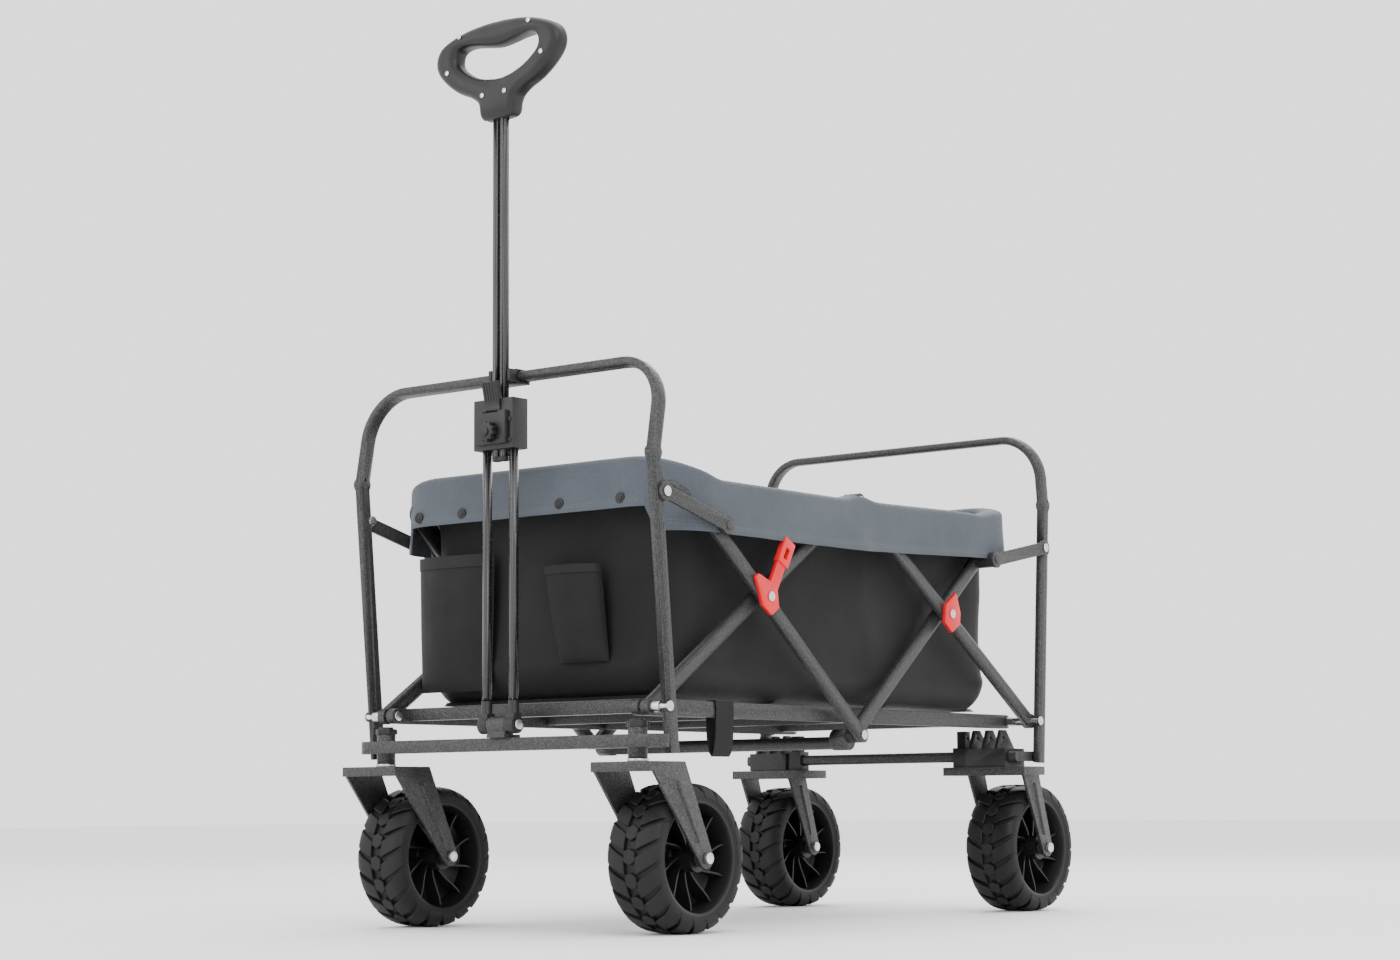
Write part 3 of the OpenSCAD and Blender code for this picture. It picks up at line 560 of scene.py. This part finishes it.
grip = bent_grid(120, 32, grip_place, True, True)
done(grip, "grip_shown", "handle_shaft", "black_plastic", black_plastic, 50, ["grip_front_shell", "grip_rear_shell"])

# %% [markdown]
# The floor of the tub is stiffened by two boards covered in cloth. Each has rounded edges, a sewn line
# near its edge and a slightly uneven top.

# %% Floor boards
def metre_uv(piece, width, length):
    for corner_loop in piece.data.uv_layers[0].data:
        corner_loop.uv = (corner_loop.uv[0] * width / 1000, corner_loop.uv[1] * length / 1000)

def cushion_edge(t, sharp):
    return min(1.0, (min(t, 1 - t) * sharp)) ** 0.4

def board(end):
    x0, x1, half_y, low, thick = 85, 364, 183, 286.6, 5.0
    def place(u, v):
        line = -0.7 if min(u * 279, (1 - u) * 279, v * 366, (1 - v) * 366) // 6 == 1 else 0
        wave = 0.5 * fold(u * 279, v * 366, end * 50, 12, 2.2) - 0.5
        top = low + thick * cushion_edge(u, 70) * cushion_edge(v, 90) + (line + wave if 0 < u < 1 and 0 < v < 1 else 0)
        return at(end * (x0 + (x1 - x0) * u), (2 * v - 1) * half_y, max(low, top))
    top_sheet = bent_grid(56, 72, place)
    bottom_sheet = bent_grid(56, 72, lambda u, v: at(end * (x0 + (x1 - x0) * u), (2 * v - 1) * half_y, low))
    piece = join([top_sheet, bottom_sheet])
    bpy.ops.object.mode_set(mode="EDIT")
    bpy.ops.mesh.select_all(action="SELECT")
    bpy.ops.mesh.remove_doubles(threshold=0.00002)
    bpy.ops.mesh.normals_make_consistent(inside=False)
    bpy.ops.object.mode_set(mode="OBJECT")
    metre_uv(piece, 279, 366)
    return piece

def fold(x, y, z, scale, seed):
    spot = Vector((x * scale / 1000, y * scale / 1000, z * scale * 0.7 / 1000 + seed))
    return noise.noise(spot)

done(board(1), "floor_board_front", "base_front", "board_cloth", strap_cloth, 50, ["base_boards_front"])
done(board(-1), "floor_board_rear", "base_rear", "board_cloth", strap_cloth, 50, ["base_boards_rear"])

# %% [markdown]
# A loop of webbing hangs from the near rail of the base: one strip that goes round the rail and down.

# %% Rail strap
strap_line = [(207, 284.2), (213.2, 284), (213.9, 275), (213.6, 258), (212.6, 238), (209.5, 220), (206.4, 215.5),
              (203, 220), (199.6, 238), (198.5, 258), (198.3, 275), (198.8, 284), (207, 284.2)]
strap = bent_grid(6, 72, lambda u, v: at(250 + 36 * u, *along(strap_line, v)), False, True)
metre_uv(strap, 36, 170)
thicken(strap, 1.4, 0.0)
done(strap, "rail_strap", "base_front", "board_cloth", strap_cloth, 50)

# %% [markdown]
# The tub and its rim share one outline, a rectangle with round corners. One function walks round it, so
# each row of cloth is the same walk at another height and another distance out.

# %% The tub's outline
wall_x, wall_y, corner = 376.0, 211.0, 45.0

def outline(u, out_x=0.0, out_y=0.0):
    flat_x, flat_y, bend = 2 * (wall_x - corner), 2 * (wall_y - corner), corner * math.pi / 2
    walk = (u % 1.0) * (2 * flat_x + 2 * flat_y + 4 * bend)
    rx, ry = corner + out_x, corner + out_y
    spots = [(flat_y, 1, -1, 0), (flat_x, 1, 1, 1), (flat_y, -1, 1, 2), (flat_x, -1, -1, 3)]
    for length, sx, sy, side in spots:
        if walk < length:
            t = walk / length
            x = [wall_x + out_x, (wall_x - corner) * (1 - 2 * t), -wall_x - out_x, (wall_x - corner) * (2 * t - 1)][side]
            y = [(wall_y - corner) * (2 * t - 1), wall_y + out_y, (wall_y - corner) * (1 - 2 * t), -wall_y - out_y][side]
            nx, ny = [(1, 0), (0, 1), (-1, 0), (0, -1)][side]
            return x, y, nx, ny
        walk -= length
        if walk < bend:
            a = math.pi / 2 * (walk / bend + side)
            cx = (wall_x - corner) * [1, -1, -1, 1][side]
            cy = (wall_y - corner) * [1, 1, -1, -1][side]
            return cx + rx * math.cos(a), cy + ry * math.sin(a), math.cos(a), math.sin(a)
        walk -= bend
    return wall_x + out_x, 0.0, 1, 0

round_length = 2 * 2 * (wall_x - corner) + 2 * 2 * (wall_y - corner) + 2 * math.pi * corner

# %% [markdown]
# The rim isn't level: it is stretched up over the two top tubes and hangs between them, with a small
# peak on each side over the middle knuckle.

# %% Heights of the rim
def rim_height(x, y):
    ends = max(0.0, (abs(x) - 300) / 76) ** 1.5
    rise = (26 if x > 0 else 20) * min(1.0, ends)
    tilt = 6 * min(1.0, max(0.0, -x / 250))
    peak = 7 * math.exp(-(x / 26) ** 2) if abs(y) > wall_y - 12 else 0
    return 556 + rise + tilt + peak

# %% [markdown]
# The tub itself: from the middle of the floor out to the edge, round the lower corner and up the wall to
# the rim. Broad noise pulls the cloth in between the bars and never pushes it out through them.

# %% Tub
floor_z, bottom_r = 285.2, 34.0

def tub_place(u, v):
    if v < 0.28:
        share = v / 0.28
        x, y, nx, ny = outline(u, -bottom_r, -bottom_r)
        sag = 1.5 * math.sin(math.pi * share) * abs(fold(x * share, y * share, 0, 7, 3.1))
        return at(x * share, y * share, floor_z + 0.6 + sag)
    if v < 0.42:
        a = (v - 0.28) / 0.14 * math.pi / 2
        back = bottom_r * (1 - math.sin(a))
        x, y, nx, ny = outline(u, -back, -back)
        end = min(1.0, max(0.0, (abs(x) - 250) / 126)) ** 2
        z = floor_z + 0.6 + bottom_r * (1 - math.cos(a)) + end * 16 * math.sin(a)
        return at(x, y, z)
    share = (v - 0.42) / 0.58
    x, y, nx, ny = outline(u)
    end = min(1.0, max(0.0, (abs(x) - 250) / 126)) ** 2
    low = floor_z + 0.6 + bottom_r + end * 16
    z = low + (rim_height(x, y) - 3 - low) * share
    slack = math.sin(math.pi * min(1.0, share * 1.02)) ** 0.6 if share < 0.98 else 0
    folds = 0.5 + 0.9 * fold(x, y, z, 5.5, 1.7) + 0.45 * fold(x + 0.35 * z, y, z * 0.5, 15, 6.3)
    pull = abs(math.sin((x * 0.9 + z * 0.75) / 46)) * max(0, fold(x, y, z, 4, 9.0))
    depth = slack * (2.0 + 11.0 * max(0.0, folds) + 9.0 * pull)
    return at(x - nx * depth, y - ny * depth, z)

tub = bent_grid(264, 60, tub_place, True)
apply_uv = tub.data.uv_layers[0].data
for loop in apply_uv:
    loop.uv = (loop.uv[0] * round_length / 1000, loop.uv[1] * 0.62)
tub_area = sum(p.area for p in tub.data.polygons)
thicken(tub, 2.0, -1.0)
done(tub, "tub_shown", "front_frame", "tub_cloth", tub_cloth, 60, ["tub"])
at(wall_x, 0, 400)
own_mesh(tub)
print("tub rows", 60)

# %% [markdown]
# The grey rim is sewn inside the wall, goes over the top tubes and hangs down outside the bars. Its lower
# edge is higher at the front. Noise makes it wave, with a few sharp creases where it is pulled down.

# %% Rim flap
def flap_low(x, y):
    if x > wall_x - 6:
        return 521
    if x < -wall_x + 6:
        return 512
    return 490 + 13 * min(1.0, max(0.0, -x / 340))

def flap_place(u, v):
    x0, y0, nx, ny = outline(u)
    top = rim_height(x0, y0)
    out_x, out_y = 27.0, 33.5
    if v < 0.22:
        share = v / 0.22
        x, y, _, _ = outline(u, -3.2, -3.2)
        return at(x, y, top - 44 + 40 * share)
    if v < 0.5:
        a = (v - 0.22) / 0.28 * math.pi
        mid = 0.5 - 0.5 * math.cos(a)
        x, y, _, _ = outline(u, -3.2 + (out_x + 3.2) * mid, -3.2 + (out_y + 3.2) * mid)
        return at(x, y, top - 4 + 7.0 * math.sin(a))
    share = (v - 0.5) / 0.5
    low = flap_low(x0, y0)
    z = top - 4 + (low - top + 4) * share
    ripple = 3.4 * share * (0.35 + fold(x0, y0, z * 0.4, 16, 4.4)) + 1.6 * share * fold(x0, y0, z, 42, 8.8)
    gather = 2.6 * math.exp(-((x0 - 9) / 14) ** 2) * share if abs(ny) > 0.9 else 0
    ripple += 0.9 if share > 0.84 else 0
    ripple = max(-0.5 if abs(ny) > 0.6 else -2.0, ripple + gather)
    x, y, _, _ = outline(u, out_x, out_y)
    return at(x + nx * ripple, y + ny * ripple, z)

flap = bent_grid(300, 30, flap_place, True)
for loop in flap.data.uv_layers[0].data:
    loop.uv = (loop.uv[0] * round_length / 1000, loop.uv[1] * 0.16)
flap_area = sum(p.area for p in flap.data.polygons)
print("cloth areas", round(tub_area, 4), round(flap_area, 4))
thicken(flap, 1.8, 0.0)
done(flap, "rim_flap_shown", "front_frame", "rim_cloth", rim_cloth, 60, ["rim_flap"])
at(wall_x + 28, 0, 500)
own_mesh(flap)

# %% [markdown]
# Four snap buttons close the rim in front. Below it the front wall has two pockets, sewn on at the sides
# and the bottom, each with a webbing band round its mouth.

# %% Snaps
def disc(d, thick, x, y, z, verts=40):
    nothing_selected()
    bpy.ops.mesh.primitive_cylinder_add(vertices=verts, radius=d / 2000, depth=thick / 1000,
                                        location=at(x, y, z), rotation=(0, math.pi / 2, 0))
    made = bpy.context.object
    bpy.ops.object.transform_apply(location=True, rotation=True, scale=True)
    return made

caps = []
for y in (-185, -108, 60, 160):
    caps += [disc(14, 3.0, 406.2, y, 533), disc(8, 1.6, 407.9, y, 533)]
snaps = join(caps)
soft_edges(snaps, 0.7)
done(snaps, "front_snaps", "front_frame", "black_plastic", black_plastic, 35)

# %% Front pockets
def pocket(name, mid_top, mid_low, half_top, half_low, z_top, z_low, bulge):
    def place(u, v):
        z = z_low + (z_top - z_low) * v
        mid = mid_low + (mid_top - mid_low) * v
        half = half_low + (half_top - half_low) * v
        arch_x = math.sin(math.pi * u) ** 0.55 * bulge * (0.25 + 0.75 * min(1.0, v * 2.2) ** 0.6)
        crease = 1.8 * fold(mid + (2 * u - 1) * half, z * 0.6, z, 26, 5.5) * math.sin(math.pi * u)
        return at(377 + arch_x + crease, mid + (2 * u - 1) * half, z)
    bag = bent_grid(48, 40, place)
    metre_uv(bag, 2 * half_top, z_top - z_low)
    thicken(bag, 1.4, 0.0)
    band = bent_grid(48, 3, lambda u, v: place(u, 1.0 - 0.09 * (1 - v)) + Vector((0.0013, 0, 0.001)))
    metre_uv(band, 2 * half_top, 12)
    thicken(band, 1.4, 0.0)
    done(bag, name, "front_frame", "tub_cloth", tub_cloth, 50)
    done(band, name + "_band", "front_frame", "board_cloth", strap_cloth, 50)
    return bag, band

bottle_pocket, bottle_band = pocket("bottle_pocket", 58, 77, 46, 40, 456, 334, 22)
side_pocket, side_band = pocket("front_pocket", -143, -143, 66, 62, 480, 304, 16)

# %% Floor, light and camera
nothing_selected()
bpy.ops.mesh.primitive_plane_add(size=40, location=(0, 0, 0))
floor = bpy.context.object
floor.name = "studio_floor"
paper = Finish("pale_floor", Roughness=0.7)
paper.feed("Base Color", paper.mix(paper.noise(3.0), grey(0.86), grey(0.88)))
floor.data.materials.append(paper.material)

def softbox(name, where, aim, size, power):
    light = bpy.data.lights.new(name, "AREA")
    light.shape, light.size, light.energy = "SQUARE", size, power
    lamp = bpy.data.objects.new(name, light)
    lamp.location = where
    lamp.rotation_euler = (Vector(aim) - Vector(where)).to_track_quat("-Z", "Y").to_euler()
    bpy.context.scene.collection.objects.link(lamp)

softbox("key", (2.4, 3.2, 3.2), (0, 0, 0.4), 2.2, 75)
softbox("front_fill", (3.6, -1.6, 1.8), (0, 0, 0.4), 2.0, 30)
softbox("top", (-0.4, 0.2, 3.6), (0, 0, 0.3), 2.6, 60)
softbox("back_rim", (-3.2, -1.2, 2.4), (0, 0, 0.5), 1.8, 35)
world = bpy.data.worlds.new("studio")
bpy.context.scene.world = world
world.use_nodes = True
world.node_tree.nodes["Background"].inputs[0].default_value = (1, 1, 1, 1)
world.node_tree.nodes["Background"].inputs[1].default_value = 1.9

lens = bpy.data.cameras.new("camera")
lens.sensor_width, lens.lens = 36, 68.05
camera = bpy.data.objects.new("camera", lens)
bpy.context.scene.collection.objects.link(camera)
yaw, pitch, roll = (math.radians(a) for a in (-141.853, 7.06, -0.428))
ahead = Vector((math.cos(yaw) * math.cos(pitch), math.sin(yaw) * math.cos(pitch), math.sin(pitch)))
right = ahead.cross(Vector((0, 0, 1))).normalized()
up = right.cross(ahead)
right, up = right * math.cos(roll) + up * math.sin(roll), up * math.cos(roll) - right * math.sin(roll)
turn = Matrix((right, up, -ahead)).transposed().to_4x4()
camera.matrix_world = Matrix.Translation(at(2902.7, 2246.7, 151.6)) @ turn
bpy.context.scene.camera = camera

# %% Finish
bpy.context.view_layer.update()
